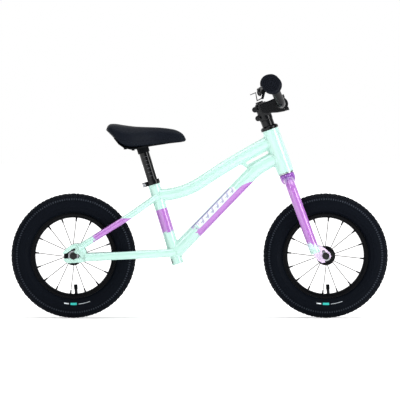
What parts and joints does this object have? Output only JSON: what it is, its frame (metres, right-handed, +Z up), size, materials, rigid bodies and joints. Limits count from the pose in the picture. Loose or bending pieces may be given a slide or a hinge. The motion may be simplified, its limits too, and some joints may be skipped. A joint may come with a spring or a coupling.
{
  "type": "balance bike",
  "caption": "Child's balance bike: welded frame, free-turning fork and riser bar, height-adjustable saddle, bell and two wire-spoked wheels with air tyres; no pedals or brakes.",
  "frame": {"origin": "on the ground, midway between the two axles, in the bike's mid plane", "axes": "+X points forward, +Y to the rider's left, +Z up"},
  "size_m": [0.942, 0.4274, 0.6096],
  "materials": {
    "frame_paint": "gloss mint lacquer with lilac panels",
    "fork_paint": "gloss lilac lacquer with mint lower ends",
    "black_alloy": "gloss black anodised",
    "black_steel": "black oxide",
    "bright_steel": "zinc plated",
    "black_plastic": "fine moulded texture",
    "saddle_cover": "smooth black vinyl",
    "grip_rubber": "matte ribbed rubber",
    "bell_metal": "gloss black",
    "tyre_rubber": "matte rubber",
    "tube_rubber": "matte rubber",
    "black_rim": "satin black",
    "spoke_steel": "drawn steel"
  },
  "bodies": {
    "frame": {"head_tube": "frame_paint", "top_tube": "frame_paint", "down_tube": "frame_paint", "seat_tube": "frame_paint", "head_gusset": "frame_paint", "chainstay_left": "frame_paint", "chainstay_right": "frame_paint", "seatstay_left": "frame_paint", "seatstay_right": "frame_paint", "dropout_left": "frame_paint", "dropout_right": "frame_paint", "stay_bridges": "frame_paint", "seat_clamp": "black_alloy", "seat_clamp_bolt": "bright_steel", "headset_cups": "black_alloy", "headset_bearings": "bright_steel", "rear_axle": "bright_steel", "rear_axle_nuts": "black_steel"},
    "saddle": {"seat_post": "black_alloy", "saddle_socket": "black_plastic", "saddle_base": "black_plastic", "saddle_pad": "saddle_cover", "saddle_bolts": "bright_steel"},
    "steering": {"steerer": "bright_steel", "fork_crown": "fork_paint", "fork_leg_left": "fork_paint", "fork_leg_right": "fork_paint", "fork_tip_left": "fork_paint", "fork_tip_right": "fork_paint", "crown_race": "bright_steel", "headset_cap": "black_alloy", "headset_spacer": "black_alloy", "stem": "black_alloy", "stem_faceplate": "black_alloy", "stem_bolts": "bright_steel", "stem_top_cap": "black_alloy", "front_axle": "bright_steel", "front_axle_nuts": "black_steel"},
    "handlebar": {"handlebar": "black_alloy", "grip_left": "grip_rubber", "grip_right": "grip_rubber", "bell_bracket": "black_plastic", "bell_dome": "bell_metal"},
    "striker": {"bell_striker": "bell_metal"},
    "front_wheel": {"front_tyre": "tyre_rubber", "front_inner_tube": "tube_rubber", "front_rim": "black_rim", "front_hub": "black_rim", "front_hub_bearings": "bright_steel", "front_spokes": "spoke_steel", "front_nipples": "black_steel", "front_valve_cap": "black_plastic"},
    "rear_wheel": {"rear_tyre": "tyre_rubber", "rear_inner_tube": "tube_rubber", "rear_rim": "black_rim", "rear_hub": "black_rim", "rear_hub_bearings": "bright_steel", "rear_spokes": "spoke_steel", "rear_nipples": "black_steel", "rear_valve_cap": "black_plastic"}
  },
  "joints": [
    {"name": "steering", "type": "hinge", "parent": "frame", "child": "steering", "pos_m": [0.21555, 0, 0.36374], "axis": [-0.3453, 0, 0.9385], "continuous": true},
    {"name": "bar_tilt", "type": "hinge", "parent": "steering", "child": "handlebar", "pos_m": [0.20369, 0, 0.53498], "axis": [0, 1, 0], "range_deg": [-12, 12]},
    {"name": "bell_strike", "type": "hinge", "parent": "handlebar", "child": "striker", "pos_m": [0.15655, -0.103, 0.55023], "axis": [0, -1, 0], "range_deg": [0, 20], "stiffness_Nm_per_rad": 0.05},
    {"name": "seat_height", "type": "slide", "parent": "frame", "child": "saddle", "axis": [-0.2924, 0, 0.9563], "range_m": [-0.068, 0.06]},
    {"name": "front_spin", "type": "hinge", "parent": "steering", "child": "front_wheel", "pos_m": [0.315, 0, 0.156], "axis": [0, 1, 0], "continuous": true},
    {"name": "rear_spin", "type": "hinge", "parent": "frame", "child": "rear_wheel", "pos_m": [-0.315, 0, 0.156], "axis": [0, 1, 0], "continuous": true}
  ]
}
